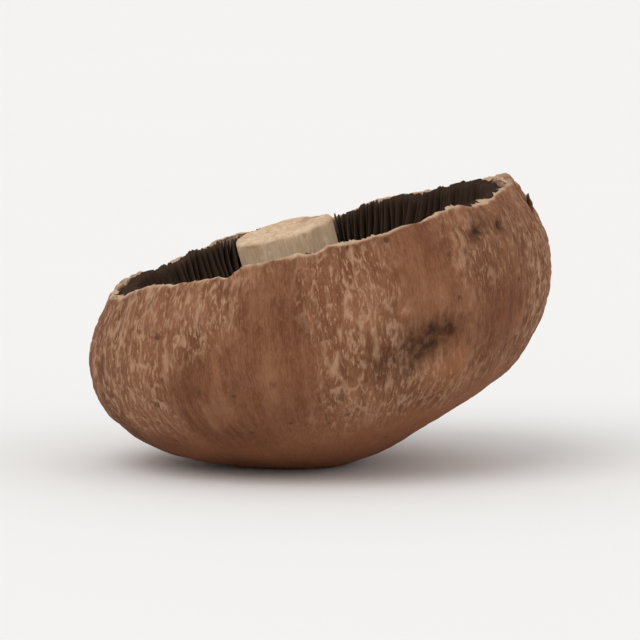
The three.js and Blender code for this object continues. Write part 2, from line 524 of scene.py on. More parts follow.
class Graph:
    """Adds shader nodes to one tree and joins them."""

    def __init__(self, tree: bpy.types.NodeTree) -> None:
        """Keeps the tree that the nodes go in."""
        self.tree = tree

    def join(self, node: bpy.types.Node, inputs: dict[Union[str, int], Input]) -> None:
        """Links sockets to a node's inputs, and sets plain values on them.

        Args:
            node: The node.
            inputs: Values or sockets by input name or number.
        """
        for key, value in inputs.items():
            if isinstance(value, Socket):
                self.tree.links.new(value, node.inputs[key])
            else:
                node.inputs[key].default_value = value

    def add(
        self, kind: str, inputs: Optional[dict[Union[str, int], Input]] = None, **settings: object
    ) -> bpy.types.Node:
        """Adds a node.

        Args:
            kind: Blender's type name of the node.
            inputs: Values or sockets by input name or number.
            **settings: Properties of the node.

        Returns:
            The new node.
        """
        node = self.tree.nodes.new(kind)
        for name, value in settings.items():
            setattr(node, name, value)
        self.join(node, inputs or {})
        return node

    def value(self, name: str) -> Socket:
        """A named value of the mesh."""
        return self.add("ShaderNodeAttribute", attribute_name=name).outputs["Fac"]

    def vector(self, name: str) -> Socket:
        """A named vector of the mesh."""
        return self.add("ShaderNodeAttribute", attribute_name=name).outputs["Vector"]

    def math(self, operation: str, a: Input, b: Input) -> Socket:
        """One sum on two values."""
        return self.add("ShaderNodeMath", {0: a, 1: b}, operation=operation).outputs[0]

    def vector_math(self, operation: str, a: Input, b: Input) -> Socket:
        """One sum on two vectors, or on a vector and its scale."""
        second = "Scale" if operation == "SCALE" else 1
        return self.add("ShaderNodeVectorMath", {0: a, second: b}, operation=operation).outputs[0]

    def ramp(self, value: Input, ramp: Ramp) -> Socket:
        """A value moved smoothly from one range to another.

        Args:
            value: The value.
            ramp: Both ranges.

        Returns:
            The moved value.
        """
        inputs = {
            "Value": value,
            "From Min": ramp.low,
            "From Max": ramp.high,
            "To Min": ramp.start,
            "To Max": ramp.end,
        }
        return self.add("ShaderNodeMapRange", inputs, interpolation_type="SMOOTHSTEP").outputs["Result"]

    def mix(self, share: Input, a: Input, b: Input) -> Socket:
        """Two colours mixed.

        Args:
            share: Share of the second colour.
            a: The first colour.
            b: The second colour.

        Returns:
            The mixed colour.
        """
        first, second = (colour if isinstance(colour, Socket) else (*colour, 1.0) for colour in (a, b))
        inputs = {MIX_SHARE: share, MIX_FIRST: first, MIX_SECOND: second}
        return self.add("ShaderNodeMix", inputs, data_type="RGBA", clamp_factor=True).outputs[MIX_RESULT]

    def noise(self, vector: Input, scale: Input, detail: float, roughness: float) -> Socket:
        """Fractal noise at places, from 0 to 1."""
        inputs = {"Vector": vector, "Scale": scale, "Detail": detail, "Roughness": roughness}
        return self.add("ShaderNodeTexNoise", inputs).outputs["Fac"]

    def cloud(self, vector: Input, scale: Input, cloud: Cloud) -> Socket:
        """Fractal noise at places, with its contrast."""
        return self.ramp(self.noise(vector, scale, cloud.detail, cloud.roughness), cloud.contrast)


class Paint:
    """A colour that is laid on in coats."""

    def __init__(self, graph: Graph, first: Socket) -> None:
        """Keeps the material's graph and the first colour."""
        self.graph = graph
        self.colour = first

    def coat(self, colour: Input, *shares: Input) -> None:
        """Lays a colour over the last one.

        Args:
            colour: The coat's colour.
            *shares: Masks and shares, whose product is how far the coat covers.
        """
        cover = shares[0]
        for share in shares[1:]:
            cover = self.graph.math("MULTIPLY", cover, share)
        self.colour = self.graph.mix(cover, self.colour, colour)


def new_group(
    name: str, inputs: Sequence[str], outputs: Sequence[str]
) -> tuple[Graph, bpy.types.NodeOutputs, bpy.types.Node]:
    """Starts a shader node group whose sockets are all plain values.

    Args:
        name: Name of the group.
        inputs: Names of its inputs.
        outputs: Names of its outputs.

    Returns:
        The graph inside it, the sockets that give its inputs, and its output node.
    """
    tree = bpy.data.node_groups.new(name, "ShaderNodeTree")
    for way, sockets in (("INPUT", inputs), ("OUTPUT", outputs)):
        for socket in sockets:
            tree.interface.new_socket(name=socket, in_out=way, socket_type="NodeSocketFloat")
    graph = Graph(tree)
    return graph, graph.add("NodeGroupInput").outputs, graph.add("NodeGroupOutput")


@dataclass
class Effects:
    """Shader node groups that several finishes share."""

    wobble_scale: float = 9.0
    wobble_detail: float = 2.0
    wobble_middle: Colour = (0.5, 0.5, 0.5)
    fine_streaks: Cloud = Cloud(3.0, 0.6, Ramp(0.3, 0.7))
    coarse_streaks: Cloud = Cloud(2.0, 0.5, Ramp(0.32, 0.68))
    coarse_scale: float = 0.31
    broad_mottle: Cloud = Cloud(3.0, 0.55, Ramp(0.32, 0.68))
    fine_mottle: Cloud = Cloud(4.0, 0.6, Ramp(0.3, 0.7))
    speck_rag_scale: float = 1500.0
    speck_rag_detail: float = 2.0
    speck_rag_roughness: float = 0.55
    speck_edge: Ramp = Ramp(0.0, 0.1)
    fibres: bpy.types.NodeTree = field(init=False)
    mottle: bpy.types.NodeTree = field(init=False)
    specks: bpy.types.NodeTree = field(init=False)

    def __post_init__(self) -> None:
        """Builds each group once."""
        self.fibres = self._fibres()
        self.mottle = self._mottle()
        self.specks = self._specks()

    def _fibres(self) -> bpy.types.NodeTree:
        """Fine streaks that run along the grain vector of the mesh.

        Returns:
            The group.
        """
        graph, given, out = new_group("fibre_streaks", ("Across", "Along", "Wander"), ("Streak", "Coarse"))
        grain = graph.vector("grain")
        stretches = {0: given["Across"], 1: given["Across"], 2: given["Along"]}
        stretch = graph.add("ShaderNodeCombineXYZ", stretches).outputs[0]
        wobbles = {"Vector": grain, "Scale": self.wobble_scale, "Detail": self.wobble_detail}
        wobble = graph.add("ShaderNodeTexNoise", wobbles).outputs["Color"]
        shift = graph.vector_math("SUBTRACT", wobble, self.wobble_middle)
        moved = graph.vector_math("ADD", grain, graph.vector_math("SCALE", shift, given["Wander"]))
        place = graph.vector_math("MULTIPLY", moved, stretch)
        fine = graph.cloud(place, 1.0, self.fine_streaks)
        coarse = graph.cloud(place, self.coarse_scale, self.coarse_streaks)
        graph.join(out, {"Streak": fine, "Coarse": coarse})
        return graph.tree

    def _mottle(self) -> bpy.types.NodeTree:
        """Soft uneven blotches in two sizes.

        Returns:
            The group.
        """
        graph, given, out = new_group("mottle", ("Scale", "Fine Scale"), ("Broad", "Fine"))
        place = graph.add("ShaderNodeTexCoord").outputs["Object"]
        broad = graph.cloud(place, given["Scale"], self.broad_mottle)
        fine = graph.cloud(place, given["Fine Scale"], self.fine_mottle)
        graph.join(out, {"Broad": broad, "Fine": fine})
        return graph.tree

    def _specks(self) -> bpy.types.NodeTree:
        """Small scattered spots with ragged edges.

        Returns:
            The group.
        """
        graph, given, out = new_group("specks", ("Scale", "Size", "Share"), ("Mask",))
        place = graph.add("ShaderNodeTexCoord").outputs["Object"]
        ragged = graph.noise(place, self.speck_rag_scale, self.speck_rag_detail, self.speck_rag_roughness)
        cells = graph.add("ShaderNodeTexVoronoi", {"Vector": place, "Scale": given["Scale"]})
        lots = graph.add("ShaderNodeSeparateColor", {0: cells.outputs["Color"]})
        reach = graph.math("MULTIPLY", given["Size"], graph.math("ADD", lots.outputs[1], ragged))
        spot = graph.ramp(graph.math("SUBTRACT", reach, cells.outputs["Distance"]), self.speck_edge)
        chosen = graph.math("LESS_THAN", lots.outputs[0], given["Share"])
        graph.join(out, {"Mask": graph.math("MULTIPLY", spot, chosen)})
        return graph.tree

    def place(self, graph: Graph, group: bpy.types.NodeTree, **values: float) -> bpy.types.NodeOutputs:
        """Puts a group in a material.

        Args:
            graph: The material's graph.
            group: The group to place.
            **values: Its inputs, with underscores for spaces.

        Returns:
            The sockets that give what it makes.
        """
        node = graph.add("ShaderNodeGroup", node_tree=group)
        graph.join(node, {name.replace("_", " "): value for name, value in values.items()})
        return node.outputs


def new_material(name: str) -> tuple[bpy.types.Material, Graph, bpy.types.Node]:
    """Starts a node material.

    Args:
        name: Name of the material.

    Returns:
        The material, its graph and its Principled shader.
    """
    material = bpy.data.materials.new(name)
    material.use_nodes = True
    graph = Graph(material.node_tree)
    return material, graph, material.node_tree.nodes["Principled BSDF"]


@dataclass(frozen=True)
class Surface:
    """How a finish takes the light: roughness, bump with its depth in metres, and specular level."""

    roughness: Ramp
    bump: float
    bump_depth: float
    specular: float

    def apply(
        self, graph: Graph, shader: bpy.types.Node, colour: Socket, fine: Socket, height: Socket
    ) -> None:
        """Joins a finish to its shader.

        Args:
            graph: The material's graph.
            shader: Its Principled shader.
            colour: The finished colour.
            fine: Fine mottling, which the roughness follows.
            height: Height of the bump.
        """
        roughness = graph.ramp(fine, self.roughness)
        bumps = {"Strength": self.bump, "Distance": self.bump_depth, "Height": height}
        normal = graph.add("ShaderNodeBump", bumps).outputs["Normal"]
        graph.join(shader, {"Base Color": colour, "Roughness": roughness, "Normal": normal})
        shader.inputs["Specular IOR Level"].default_value = self.specular


@dataclass(frozen=True)
class SkinFinish:
    """The cap's skin, from the smooth crown to the scaly margin and its pale lip."""

    ground: Colour = (0.215, 0.083, 0.040)
    deep: Colour = (0.118, 0.040, 0.018)
    # The smooth crown's own tone, lightened as painted light against the shade where the cap rests on its
    # crown.
    crown: Colour = (0.300, 0.108, 0.046)
    fibre: Colour = (0.330, 0.155, 0.082)
    crack: Colour = (0.465, 0.270, 0.165)
    scale: Colour = (0.150, 0.052, 0.023)
    # Dark stain colour, also laid as painted shade in the bruised crease.
    stain: Colour = (0.040, 0.0155, 0.0070)
    # Painted highlight on the raised bulge.
    painted_bulge_highlight: Colour = (0.340, 0.140, 0.058)
    lip: Colour = (0.600, 0.410, 0.275)
    flesh: Colour = (0.520, 0.370, 0.250)
    scale_share: float = 0.55
    crown_by_rough: Ramp = Ramp(0.0, 1.0, 0.75, 0.1)
    coarse_by_rough: Ramp = Ramp(0.0, 1.0, 0.12, 0.42)
    streak_by_rough: Ramp = Ramp(0.0, 1.0, 0.16, 0.5)
    pale_grain: Ramp = Ramp(0.0, 1.0, 0.0, 0.2)
    # Painted highlight on raised relief and painted shade in its hollows, both by height.
    painted_highlight_on_raised: Ramp = Ramp(0.05, 0.9, 0.0, 0.5)
    painted_shade_in_hollows: Ramp = Ramp(-0.9, -0.05, 0.6, 0.0)
    pale_hairs: Ramp = Ramp(0.55, 1.0, 0.0, 0.34)
    dark_hairs: Ramp = Ramp(0.0, 0.45, 0.34, 0.0)
    broken_cracks: Ramp = Ramp(0.2, 0.8, 0.05, 0.8)
    flecks: Ramp = Ramp(0.62, 0.95)
    fleck_share: float = 0.7
    speck_share: float = 0.6
    lip_streaks: float = 0.4
    streaky_stain: Ramp = Ramp(0.1, 0.9, 1.0, 0.55)
    fine_nap: float = 0.6
    hair_nap: float = 0.7
    surface: Surface = Surface(Ramp(0.0, 1.0, 0.62, 0.88), bump=0.5, bump_depth=0.0002, specular=0.1)

    def material(self, effects: Effects) -> bpy.types.Material:
        """Builds the material.

        Args:
            effects: The shared node groups.

        Returns:
            The finished material.
        """
        material, graph, shader = new_material("cap skin")
        fibres = effects.place(graph, effects.fibres, Across=150.0, Along=8.0, Wander=0.035)
        flecks = effects.place(graph, effects.fibres, Across=85.0, Along=22.0, Wander=0.05)
        hair = effects.place(graph, effects.fibres, Across=240.0, Along=30.0, Wander=0.04)["Streak"]
        mottle = effects.place(graph, effects.mottle, Scale=60.0, Fine_Scale=620.0)
        specks = effects.place(graph, effects.specks, Scale=300.0, Size=0.17, Share=0.16)
        streak, coarse, fine = fibres["Streak"], fibres["Coarse"], mottle["Fine"]
        rough, height = graph.value("rough"), graph.value("height")
        paint = Paint(graph, graph.mix(mottle["Broad"], self.deep, self.ground))
        paint.coat(self.scale, graph.value("scale"), self.scale_share)
        # Crown tone, partly painted light that offsets the shade under the resting crown.
        paint.coat(self.crown, graph.ramp(rough, self.crown_by_rough))
        paint.coat(self.fibre, coarse, graph.ramp(rough, self.coarse_by_rough))
        paint.coat(self.deep, streak, graph.ramp(rough, self.streak_by_rough))
        paint.coat(self.fibre, graph.ramp(fine, self.pale_grain))
        # Painted highlight where the relief is raised, painted shade where it sinks.
        paint.coat(self.fibre, graph.ramp(height, self.painted_highlight_on_raised))
        paint.coat(self.deep, graph.ramp(height, self.painted_shade_in_hollows))
        paint.coat(self.fibre, graph.ramp(hair, self.pale_hairs))
        paint.coat(self.deep, graph.ramp(hair, self.dark_hairs))
        paint.coat(self.crack, graph.value("crack"), graph.ramp(flecks["Coarse"], self.broken_cracks))
        fleck = graph.ramp(flecks["Streak"], self.flecks)
        paint.coat(self.crack, fleck, rough, graph.value("patch"), self.fleck_share)
        # Painted highlight where a mark's stain is below 0.
        paint.coat(self.painted_bulge_highlight, graph.value("painted_bulge_highlight"))
        paint.coat(self.stain, specks["Mask"], self.speck_share)
        lip = graph.mix(graph.math("MULTIPLY", coarse, self.lip_streaks), self.lip, self.fibre)
        paint.coat(lip, graph.value("lip"))
        paint.coat(self.flesh, graph.value("flesh"))
        # Stains of the marks, with the painted crease shade of the bruise.
        paint.coat(self.stain, graph.value("stain"), graph.ramp(fine, self.streaky_stain))
        nap = graph.math("ADD", streak, graph.math("MULTIPLY", fine, self.fine_nap))
        nap = graph.math("ADD", nap, graph.math("MULTIPLY", hair, self.hair_nap))
        self.surface.apply(graph, shader, paint.colour, fine, nap)
        return material


@dataclass(frozen=True)
class GillFinish:
    """Dull chocolate-brown blades with slightly paler edges."""

    ground: Colour = (0.036, 0.0195, 0.0122)
    deep: Colour = (0.011, 0.0058, 0.0036)
    edge: Colour = (0.066, 0.039, 0.025)
    tone_share: float = 0.6
    edge_by_depth: Ramp = Ramp(0.78, 1.0)
    edge_share: float = 0.75
    streak_share: float = 0.25
    surface: Surface = Surface(Ramp(0.0, 1.0, 0.68, 0.92), bump=0.3, bump_depth=0.0001, specular=0.1)

    def material(self, effects: Effects) -> bpy.types.Material:
        """Builds the material.

        Args:
            effects: The shared node groups.

        Returns:
            The finished material.
        """
        material, graph, shader = new_material("gill blades")
        fibres = effects.place(graph, effects.fibres, Across=40.0, Along=8.0, Wander=0.02)
        mottle = effects.place(graph, effects.mottle, Scale=160.0, Fine_Scale=900.0)
        paint = Paint(graph, graph.mix(mottle["Broad"], self.deep, self.ground))
        paint.coat(self.edge, graph.value("tone"), self.tone_share)
        paint.coat(self.edge, graph.ramp(graph.value("depth"), self.edge_by_depth), self.edge_share)
        paint.coat(self.deep, fibres["Streak"], self.streak_share)
        self.surface.apply(graph, shader, paint.colour, mottle["Fine"], mottle["Fine"])
        return material


@dataclass(frozen=True)
class FleshFinish:
    """Cream flesh of the stem, fibrous along its length and browned where it was cut."""

    ground: Colour = (0.650, 0.465, 0.305)
    shade: Colour = (0.470, 0.295, 0.170)
    bruise: Colour = (0.270, 0.145, 0.078)
    pale: Colour = (0.750, 0.575, 0.400)
    streak_by_cut: Ramp = Ramp(0.0, 1.0, 0.6, 0.2)
    coarse_by_cut: Ramp = Ramp(0.0, 1.0, 0.4, 0.0)
    pith: Ramp = Ramp(0.25, 0.85, 0.0, 0.55)
    speck_share: float = 0.45
    fine_nap: float = 0.5
    surface: Surface = Surface(Ramp(0.0, 1.0, 0.6, 0.84), bump=0.4, bump_depth=0.0002, specular=0.12)

    def material(self, effects: Effects) -> bpy.types.Material:
        """Builds the material.

        Args:
            effects: The shared node groups.

        Returns:
            The finished material.
        """
        material, graph, shader = new_material("stem flesh")
        fibres = effects.place(graph, effects.fibres, Across=26.0, Along=3.0, Wander=0.03)
        mottle = effects.place(graph, effects.mottle, Scale=150.0, Fine_Scale=800.0)
        specks = effects.place(graph, effects.specks, Scale=420.0, Size=0.2, Share=0.3)
        streak, fine, cut = fibres["Streak"], mottle["Fine"], graph.value("cut")
        paint = Paint(graph, graph.mix(mottle["Broad"], self.ground, self.pale))
        paint.coat(self.shade, streak, graph.ramp(cut, self.streak_by_cut))
        paint.coat(self.shade, fibres["Coarse"], graph.ramp(cut, self.coarse_by_cut))
        paint.coat(self.shade, cut, graph.ramp(fine, self.pith))
        paint.coat(self.bruise, graph.value("browned"))
        paint.coat(self.bruise, specks["Mask"], self.speck_share)
        nap = graph.math("ADD", streak, graph.math("MULTIPLY", fine, self.fine_nap))
        self.surface.apply(graph, shader, paint.colour, fine, nap)
        return material


@dataclass(frozen=True)
class Mark:
    """A mark on the skin: its turn, place past the lip and half sizes in millimetres, height and stain."""

    turn: float
    past: float
    across: float
    along: float
    height: float
    # Below 0 the mark paints a highlight instead of a stain.
    stain: float


@dataclass(frozen=True)
class Nicks:
    """Small nicks scattered over the skin: how many, and the ranges that their sizes are drawn from."""

    count: int = 34
    seed: int = 17
    past: Span = (-42.0, -3.0)
    across: Span = (0.25, 0.5)
    along: Span = (0.4, 1.3)
    height: float = -0.18
    stain: Span = (0.25, 0.8)

    def scatter(self) -> list[Mark]:
        """Draws the nicks.

        Returns:
            One mark for each nick.
        """
        random = np.random.default_rng(self.seed)
        nicks = []
        for _ in range(self.count):
            turn, past = random.uniform(0.0, FULL_TURN), random.uniform(*self.past)
            across, along = random.uniform(*self.across), random.uniform(*self.along)
            nicks.append(Mark(turn, past, across, along, self.height, random.uniform(*self.stain)))
        return nicks


@dataclass(frozen=True)
class Tuft:
    """A torn tongue of skin that stands up at the margin: where, its sizes in millimetres, and its bends."""

    turn: float = -0.14
    past: float = -7.2
    height: float = 4.3
    width: float = 1.3
    thickness: float = 1.4
    steps: int = 12
    columns: int = 8
    narrowing: float = 0.6
    knot: float = 0.22
    knot_turns: Span = (9.0, 3.0)
    bend: float = 0.3
    bend_turns: float = 4.5
    set_in: float = 0.4
    share_below: float = 0.25
    tatter: float = 0.25
    stain: float = 0.85

    def grow(self, foot: Array, out: Array) -> Array:
        """Points of the tongue.

        Args:
            foot: Point of the skin that it grows from.
            out: Unit normal of the skin there.

        Returns:
            A grid of points: rows up the tongue, columns over one face and back over the other.
        """
        rise = np.linspace(0.0, 1.0, self.steps)[:, None]
        around = np.linspace(0.0, FULL_TURN, self.columns, endpoint=False) - 0.5 * FULL_TURN / self.columns
        along = np.array([-out[1], out[0], 0.0])
        knots = 1.0 + self.knot * np.sin(self.knot_turns[0] * rise + self.knot_turns[1] * around)
        taper = (1.0 - self.narrowing * rise) * knots
        bend = self.bend * np.sin(self.bend_turns * rise)
        side = 0.5 * self.width * taper * np.cos(around) + bend
        front = 0.5 * self.thickness * taper * np.sin(around) + bend - self.set_in
        lift = self.height * (rise - self.share_below) + self.tatter * np.sin(2.0 * around) * rise
        return foot + side[..., None] * along + front[..., None] * out + lift[..., None] * UP


@dataclass
class SkinPlaces:
    """Where the points of the cap's mesh lie, rows by columns, and what grows there, from 0 to 1."""

    angles: Array
    past: Array
    drum: Array
    outside: Array
    rough: Array
    patch: Array


@dataclass
class Cap:
    """The cap: brown skin, its ragged lip and the flesh's underside, in millimetres."""

    growth: Growth
    material: bpy.types.Material
    turns: int = 640
    outer_rows: int = 220
    outer_from: float = 0.004
    lip_rows: int = 10
    lip_bulge: float = 0.8
    under_rows: int = 16
    under_to: float = 0.02

    skin_end: Span = (-0.6, 0.4)
    rough_range: Span = (-44.0, -26.0)
    rough_wander: Uneven = Uneven(11, 12.0, 5.0)
    patches: Uneven = Uneven(11, 14.0, 1.0, shift=50.0)
    patch_range: Span = (-0.5, 0.35)
    warps: tuple[Uneven, ...] = (Uneven(61, 4.0, 1.0), Uneven(62, 4.0, 1.0), Uneven(63, 4.0, 1.0))
    swells: tuple[Uneven, ...] = (Uneven(11, 15.0, 0.6), Uneven(53, 1.5, 0.07))
    lumps: tuple[Uneven, ...] = (Uneven(11, 7.0, 0.32), Uneven(47, 3.2, 0.16))
    lumps_at_crown: float = 0.35
    wrinkles: tuple[Uneven, ...] = (
        Uneven(37, (4.5, 4.5, 22.0), 0.3, warp=1.5),
        Uneven(31, (1.5, 1.5, 10.0), 0.2, warp=0.8),
    )
    plates: Uneven = Uneven(23, (1.9, 1.9, 3.6), 0.24, warp=1.1)
    plate_sides: Span = (0.0, 0.3)
    plate_sink: float = 0.7
    plates_off_patch: float = 0.3
    crack_sides: Span = (0.03, 0.24)
    scale_range: Span = (-0.2, 1.0)
    height_gain: float = 2.4
    nicks: Nicks = Nicks()
    mark_rag: Uneven = Uneven(83, 2.2, 0.8, layers=2)
    marks: tuple[Mark, ...] = (
        # The bruise along the dent: a dark stain, and painted shade that darkens the crease.
        Mark(-1.26, -24.2, 4.6, 3.3, -0.2, 0.44),
        Mark(-1.17, -23.4, 4.2, 3.2, -0.25, 0.5),
        Mark(-1.08, -22.6, 3.8, 3.0, -0.3, 0.52),
        Mark(-1.00, -21.7, 3.3, 2.6, -0.3, 0.5),
        Mark(-0.94, -20.9, 2.7, 2.0, -0.25, 0.42),
        # A raised bulge with a painted highlight on it.
        Mark(-0.93, -28.2, 4.8, 3.4, 0.9, -0.5),
        Mark(-0.69, -5.6, 4.2, 3.2, -0.2, 0.5),
        Mark(-0.735, -6.5, 1.05, 1.4, -0.5, 0.95),
        Mark(-0.565, -6.8, 1.15, 1.1, -0.45, 1.0),
        Mark(-0.575, -6.6, 0.75, 0.7, -0.2, 0.9),
        Mark(-0.50, -7.4, 0.35, 0.9, -0.2, 0.7),
        Mark(-0.16, -3.0, 0.8, 2.4, -0.2, 0.8),
        Mark(-0.10, -0.7, 0.4, 0.9, -0.1, 0.8),
    )

    rag: Uneven = Uneven(11, 6.0, 0.5, layers=3)
    rag_reach: float = 5.0
    bites: Uneven = Uneven(11, 8.0, 1.0)
    bite_range: Span = (0.4, 0.85)
    bite_depth: float = 0.9
    splits: tuple[Span, ...] = ((-2.3, 1.6), (-0.35, 1.2), (0.6, 2.0), (1.75, 1.4), (2.9, 1.8))
    split_width: float = 0.7
    thinning: float = 0.3
    thinning_wander: Uneven = Uneven(11, 9.0, 0.3, layers=3, shift=30.0)
    inner_side: Span = (-0.9, 0.9)
    inner_fade: Span = (1.0, 5.0)
    roll_depth: float = 1.6
    crumple: Uneven = Uneven(91, 1.8, 0.2, layers=2)
    crumple_fade: Span = (1.0, 3.0)
    free_of_floor: float = 2.5
    free_of_lip: float = 1.5
    lip_width: float = 0.75
    lip_sweep: Uneven = Uneven(11, 7.0, 0.8, layers=3)
    lip_teeth: Uneven = Uneven(11, 1.2, 0.45)
    lip_side: Span = (-0.7, 0.3)
    lip_lost_in_roll: float = 0.85
    flesh_side: Span = (0.6, 3.0)
    flesh_lost_in_roll: float = 0.7
    tuft: Tuft = Tuft()
    edge: Array = field(init=False)

    @property
    def edge_row(self) -> int:
        """Row of the mesh along the lip's edge."""
        return self.outer_rows + self.lip_rows // 2

    def _profile(self) -> tuple[Array, Array]:
        """The level outline from the crown over the lip to the stem.

        Returns:
            Radius and height one to a row, and each row's distance past the lip's edge.
        """
        outer = bezier(self.growth.outer, np.linspace(self.outer_from, 1.0, self.outer_rows))
        under = bezier(self.growth.underside, np.linspace(1.0, self.under_to, self.under_rows))
        middle, half = (outer[-1] + under[0]) / 2, (outer[-1] - under[0]) / 2
        up = self.growth.outer[3] - self.growth.outer[2]
        up *= self.lip_bulge / np.linalg.norm(up)
        angles = np.linspace(0.0, math.pi, self.lip_rows + 2)[1:-1, None]
        lip = middle + half * np.cos(angles) + up * np.sin(angles)
        profile = np.concatenate([outer, lip, under])
        steps = np.linalg.norm(np.diff(profile, axis=0), axis=1)
        length = np.concatenate([[0.0], np.cumsum(steps)])
        return profile, length - length[self.edge_row]

    def _places(self, angles: Array, past_lip: Array) -> SkinPlaces:
        """Lays out the skin.

        Args:
            angles: Angles about the axis, one to a column.
            past_lip: Distances past the lip's edge, one to a row.

        Returns:
            The places of the mesh's points.
        """
        past = np.repeat(past_lip[:, None], self.turns, axis=1)
        drum = on_drum(angles, self.growth.waist, past)
        return SkinPlaces(
            angles=angles,
            past=past,
            drum=drum,
            outside=1.0 - smooth(*self.skin_end, past),
            rough=smooth(*self.rough_range, past + self.rough_wander.read(drum)),
            patch=smooth(*self.patch_range, self.patches.read(drum)),
        )

    def _skin(self, places: SkinPlaces) -> tuple[Array, Values]:
        """The skin's lumps, wrinkles and cracked plates.

        Args:
            places: The places of the mesh's points.

        Returns:
            Heights off the plain skin, and the values that its finish reads.
        """
        drum, rough, patch = places.drum, places.rough, places.patch
        warp = np.stack([layer.read(drum) for layer in self.warps], axis=-1)
        border, tone = Noise(self.plates.seed).cells(drum + self.plates.warp * warp, self.plates.size)
        raised = smooth(*self.plate_sides, border) - self.plate_sink
        plates = self.plates.height * between(self.plates_off_patch, 1.0, patch) * raised
        wrinkles = sum(layer.read(drum, warp) for layer in self.wrinkles) + plates
        lumps = sum(layer.read(drum) for layer in self.lumps)
        medium = lumps * between(self.lumps_at_crown, 1.0, rough) + wrinkles * rough
        values = {
            "grain": on_drum(places.angles, 1.0, places.past / self.growth.waist),
            "rough": rough,
            "patch": patch,
            "crack": (1.0 - smooth(*self.crack_sides, border)) * rough * patch * places.outside,
            "height": np.clip(self.height_gain * medium, -1.0, 1.0) * places.outside,
            "scale": smooth(*self.scale_range, tone) * rough,
        }
        return medium + sum(layer.read(drum) for layer in self.swells), values

    def _press_marks(self, places: SkinPlaces, relief: Array) -> Array:
        """Presses the bruise with its painted crease shade, the nicks and the other marks into the relief.

        Args:
            places: The places of the mesh's points.
            relief: Heights off the plain skin, which are changed in place.

        Returns:
            How far each point is stained, below 0 where a painted highlight goes instead.
        """
        rag = 1.0 + self.mark_rag.read(places.drum)
        stain = np.zeros(places.past.shape)
        for mark in [*self.marks, *self.nicks.scatter()]:
            across = turned(places.angles, mark.turn) * self.growth.waist / mark.across
            along = (places.past - mark.past) / mark.along
            shape = np.exp(-(across**2 + along**2) * rag)
            relief += mark.height * shape
            stain += mark.stain * shape
        return stain

    def _shape_lip(self, places: SkinPlaces, level: Array) -> None:
        """Tears and thins the lip, and rolls it in.

        Args:
            places: The places of the mesh's points.
            level: Points of the level cap, which are moved in place.
        """
        around = places.drum * LEVEL
        rag = self.rag.read(around) - self.bite_depth * smooth(*self.bite_range, self.bites.read(around))
        for turn, depth in self.splits:
            across = turned(places.angles, turn) * self.growth.waist / self.split_width
            rag = rag - depth * hump(across)
        level[..., 2] += rag * (1.0 - smooth(0.0, self.rag_reach, np.abs(places.past)))
        thinner = self.growth.lip_thickness * (self.thinning + self.thinning_wander.read(around))
        rolled = self.growth.rolled(places.angles)
        moved = np.maximum(thinner, 0.0) * (1.0 - rolled) - self.roll_depth * rolled
        inside = smooth(*self.inner_side, places.past) * (1.0 - smooth(*self.inner_fade, places.past))
        radius = np.hypot(level[..., 0], level[..., 1])
        level[..., :2] *= (1.0 + moved * inside / radius)[..., None]

    def _pale_parts(self, places: SkinPlaces) -> Values:
        """Where the lip and the bare flesh show, which are browner in the rolled margin.

        Args:
            places: The places of the mesh's points.

        Returns:
            The values that the finish reads.
        """
        rolled = self.growth.rolled(places.angles)
        width = self.lip_width + self.lip_sweep.read(places.drum * LEVEL) + self.lip_teeth.read(places.drum)
        lip = smooth(*self.lip_side, places.past + width)
        flesh = smooth(*self.flesh_side, places.past)
        return {
            "lip": lip * (1.0 - self.lip_lost_in_roll * rolled),
            "flesh": flesh * (1.0 - self.flesh_lost_in_roll * rolled),
        }

    def _dark_tuft(self, places: SkinPlaces, grid: Array, values: Values) -> tuple[Array, Values]:
        """The tuft, in the colours of the skin that it grows from but stained.

        Args:
            places: The places of the mesh's points.
            grid: The grown points.
            values: Their values.

        Returns:
            The tuft's points and values.
        """
        row = int(np.argmin(np.abs(places.past[:, 0] - self.tuft.past)))
        column = int(np.argmin(np.abs(turned(places.angles, self.tuft.turn))))
        points = self.tuft.grow(grid[row, column], grid_normals(grid)[row, column])
        shape = points.shape[:2]
        dark = {}
        for name, value in values.items():
            dark[name] = np.broadcast_to(value[row, column], (*shape, *value.shape[2:]))
        dark["stain"] = np.full(shape, self.tuft.stain)
        return points, dark

    def build(self) -> bpy.types.Object:
        """Builds the closed mesh with the values that its finish reads.

        Returns:
            The cap.
        """
        angles = np.linspace(0.0, FULL_TURN, self.turns, endpoint=False)
        profile, past_lip = self._profile()
        places = self._places(angles, past_lip)
        relief, values = self._skin(places)
        stain = self._press_marks(places, relief)
        # The stain value also carries the painted crease shade of the bruise.
        values["stain"] = np.clip(stain, 0.0, 1.0) * places.outside
        # Painted highlight where the stain is below 0.
        values["painted_bulge_highlight"] = np.clip(-stain, 0.0, 1.0)
        values |= self._pale_parts(places)
        level = self.growth.turn_profile(profile, angles)
        self._shape_lip(places, level)
        grid = self.growth.grow(level)
        off_lip = np.abs(places.past)
        free = smooth(0.0, self.free_of_floor, grid[..., 2]) * smooth(0.0, self.free_of_lip, off_lip)
        crumple = self.crumple.read(places.drum) * (1.0 - smooth(*self.crumple_fade, off_lip))
        grid = grid + grid_normals(grid) * (relief * free * places.outside + crumple)[..., None]
        grid[..., 2] = np.maximum(grid[..., 2], 0.0)
        self.edge = grid[self.edge_row]
        parts = MeshParts()
        parts.add_grid(grid, values, poles=True)
        parts.add_tube(*self._dark_tuft(places, grid, values))
        piece = parts.to_object("cap_skin_and_flesh", self.material)
        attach(piece, BODY)
        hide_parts("cap")
        return piece


class GillTier(Enum):
    """The lengths of gill: the last raised row from the lip, and the share of the full depth."""

    LONG = (7, 1.0)
    SHORT = (3, 0.88)
    MIDDLING = (5, 0.95)

    @property
    def reach(self) -> int:
        """Last raised row, counted from the lip."""
        return self.value[0]

    @property
    def depth(self) -> float:
        """Share of the full depth."""
        return self.value[1]


